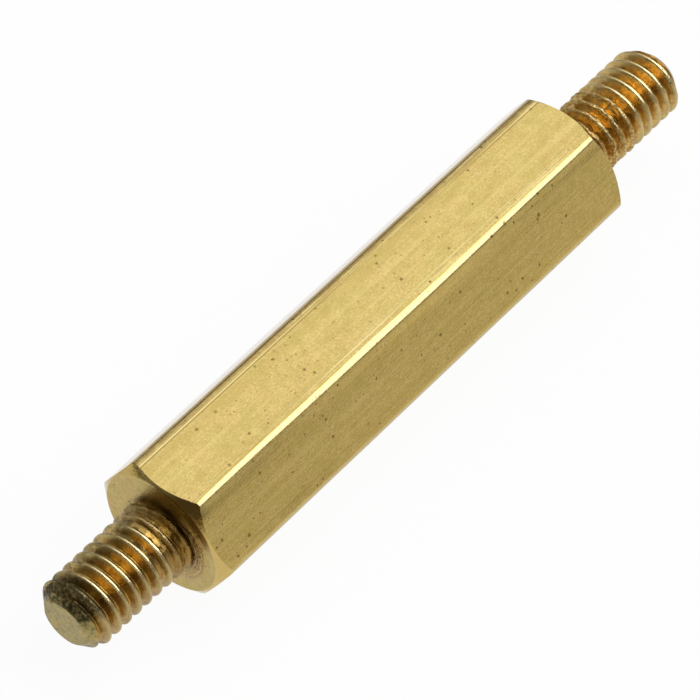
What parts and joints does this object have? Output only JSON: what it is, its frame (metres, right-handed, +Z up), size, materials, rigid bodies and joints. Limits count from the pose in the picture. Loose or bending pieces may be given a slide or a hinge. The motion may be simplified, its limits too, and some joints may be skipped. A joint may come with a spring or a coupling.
{
  "type": "hex standoff",
  "caption": "Brass hexagonal standoff with a threaded stud at each end, for holding two boards or panels a set distance apart.",
  "frame": {"origin": "middle of the flat of the hexagon that the standoff lies on, halfway between its shoulders", "axes": "+X along the axis towards the longer stud, +Z up from the flat it lies on"},
  "size_m": [0.0441, 0.008, 0.007],
  "materials": {
    "brass": "bare drawn and turned brass, dull to satin"
  },
  "bodies": {
    "root": {"standoff": "brass"}
  },
  "joints": []
}
